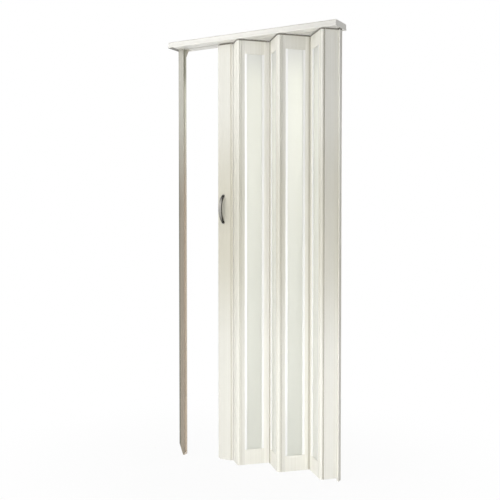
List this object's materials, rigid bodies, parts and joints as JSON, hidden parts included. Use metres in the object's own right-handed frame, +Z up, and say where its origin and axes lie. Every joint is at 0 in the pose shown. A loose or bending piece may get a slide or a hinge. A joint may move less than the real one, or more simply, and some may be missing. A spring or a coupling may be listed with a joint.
{
  "type": "accordion door",
  "caption": "Folding accordion door with frosted glazed panels on full-height hinge strips, hung from a slotted head rail, with a strike post and bow handles on the lead post.",
  "frame": {"origin": "on the floor, under the middle of the head rail, in the plane of its glider slot", "axes": "+Z up, +X along the rail from the strike post to the wall jamb, -Y towards the person at the front handle"},
  "size_m": [0.8958, 0.1188, 2.05],
  "materials": {
    "ivory_pvc": "satin extruded PVC with a fine vertical grain",
    "hinge_pvc": "satin extruded PVC, slightly softer and brighter than the panels",
    "white_channel": "bright white glossy glazing channel",
    "frosted_acrylic": "frosted translucent acrylic",
    "nylon": "moulded nylon",
    "handle_metal": "satin nickel",
    "plated_steel": "zinc plated",
    "bracket_metal": "matt grey",
    "magnet": "dark coated magnet bar"
  },
  "bodies": {
    "frame": {"head_rail": "ivory_pvc", "rail_end_cap_left": "ivory_pvc", "rail_end_cap_right": "ivory_pvc", "strike_post": "ivory_pvc", "strike_foot_plug": "ivory_pvc", "strike_magnets": "magnet", "strike_bracket": "bracket_metal", "strike_bracket_screws": "plated_steel", "wall_jamb": "ivory_pvc"},
    "lead": {"lead_post": "ivory_pvc", "lead_nose": "ivory_pvc", "lead_top_plug": "ivory_pvc", "lead_bottom_plug": "ivory_pvc", "lead_gliders": "nylon", "lead_keeper": "plated_steel", "handle_screws": "plated_steel", "front_handle": "handle_metal", "rear_handle": "handle_metal"},
    "lead_half": {"lead_half_panel": "ivory_pvc"},
    "wall_half": {"wall_half_panel": "ivory_pvc"},
    "panel_1": {"panel_1_peak_stile": "ivory_pvc", "panel_1_valley_stile": "ivory_pvc", "panel_1_top_rail": "ivory_pvc", "panel_1_bottom_rail": "ivory_pvc", "panel_1_pane": "frosted_acrylic", "panel_1_glazing_channels": "white_channel", "panel_1_glider": "nylon"},
    "panel_2": {"panel_2_peak_stile": "ivory_pvc", "panel_2_valley_stile": "ivory_pvc", "panel_2_top_rail": "ivory_pvc", "panel_2_bottom_rail": "ivory_pvc", "panel_2_pane": "frosted_acrylic", "panel_2_glazing_channels": "white_channel", "panel_2_glider": "nylon"},
    "panel_3": {"panel_3_peak_stile": "ivory_pvc", "panel_3_valley_stile": "ivory_pvc", "panel_3_top_rail": "ivory_pvc", "panel_3_bottom_rail": "ivory_pvc", "panel_3_pane": "frosted_acrylic", "panel_3_glazing_channels": "white_channel", "panel_3_glider": "nylon"},
    "panel_4": {"panel_4_peak_stile": "ivory_pvc", "panel_4_valley_stile": "ivory_pvc", "panel_4_top_rail": "ivory_pvc", "panel_4_bottom_rail": "ivory_pvc", "panel_4_pane": "frosted_acrylic", "panel_4_glazing_channels": "white_channel", "panel_4_glider": "nylon"},
    "strip_1": {"hinge_strip_1": "hinge_pvc"},
    "strip_2": {"hinge_strip_2": "hinge_pvc"},
    "strip_3": {"hinge_strip_3": "hinge_pvc"},
    "strip_4": {"hinge_strip_4": "hinge_pvc"},
    "strip_5": {"hinge_strip_5": "hinge_pvc"}
  },
  "joints": [
    {"name": "door_fold", "type": "hinge", "parent": "frame", "child": "wall_half", "pos_m": [0.43585, 0, 1.014], "axis": [0, 0, 1], "range_deg": [-35, 33]},
    {"name": "strip_5_turn", "type": "hinge", "parent": "wall_half", "child": "strip_5", "pos_m": [0.38811, -0.05119, 1.014], "axis": [0, 0, 1], "range_deg": [-33, 35]},
    {"name": "panel_4_turn", "type": "hinge", "parent": "strip_5", "child": "panel_4", "pos_m": [0.37611, -0.05119, 1.014], "axis": [0, 0, 1], "range_deg": [-33, 35]},
    {"name": "strip_4_turn", "type": "hinge", "parent": "panel_4", "child": "strip_4", "pos_m": [0.28063, 0.05119, 1.014], "axis": [0, 0, 1], "range_deg": [-35, 33]},
    {"name": "panel_3_turn", "type": "hinge", "parent": "strip_4", "child": "panel_3", "pos_m": [0.26863, 0.05119, 1.014], "axis": [0, 0, 1], "range_deg": [-35, 33]},
    {"name": "strip_3_turn", "type": "hinge", "parent": "panel_3", "child": "strip_3", "pos_m": [0.17315, -0.05119, 1.014], "axis": [0, 0, 1], "range_deg": [-33, 35]},
    {"name": "panel_2_turn", "type": "hinge", "parent": "strip_3", "child": "panel_2", "pos_m": [0.16115, -0.05119, 1.014], "axis": [0, 0, 1], "range_deg": [-33, 35]},
    {"name": "strip_2_turn", "type": "hinge", "parent": "panel_2", "child": "strip_2", "pos_m": [0.06567, 0.05119, 1.014], "axis": [0, 0, 1], "range_deg": [-35, 33]},
    {"name": "panel_1_turn", "type": "hinge", "parent": "strip_2", "child": "panel_1", "pos_m": [0.05367, 0.05119, 1.014], "axis": [0, 0, 1], "range_deg": [-35, 33]},
    {"name": "strip_1_turn", "type": "hinge", "parent": "panel_1", "child": "strip_1", "pos_m": [-0.04181, -0.05119, 1.014], "axis": [0, 0, 1], "range_deg": [-33, 35]},
    {"name": "lead_half_turn", "type": "hinge", "parent": "strip_1", "child": "lead_half", "pos_m": [-0.05381, -0.05119, 1.014], "axis": [0, 0, 1], "range_deg": [-33, 35]},
    {"name": "lead_turn", "type": "hinge", "parent": "lead_half", "child": "lead", "pos_m": [-0.10155, 0, 1.014], "axis": [0, 0, 1], "range_deg": [-35, 33]}
  ],
  "couplings": [
    {"joint": "strip_5_turn", "follows": "door_fold", "ratio": -1},
    {"joint": "panel_4_turn", "follows": "door_fold", "ratio": -1},
    {"joint": "strip_4_turn", "follows": "door_fold", "ratio": 1},
    {"joint": "panel_3_turn", "follows": "door_fold", "ratio": 1},
    {"joint": "strip_3_turn", "follows": "door_fold", "ratio": -1},
    {"joint": "panel_2_turn", "follows": "door_fold", "ratio": -1},
    {"joint": "strip_2_turn", "follows": "door_fold", "ratio": 1},
    {"joint": "panel_1_turn", "follows": "door_fold", "ratio": 1},
    {"joint": "strip_1_turn", "follows": "door_fold", "ratio": -1},
    {"joint": "lead_half_turn", "follows": "door_fold", "ratio": -1},
    {"joint": "lead_turn", "follows": "door_fold", "ratio": 1}
  ]
}
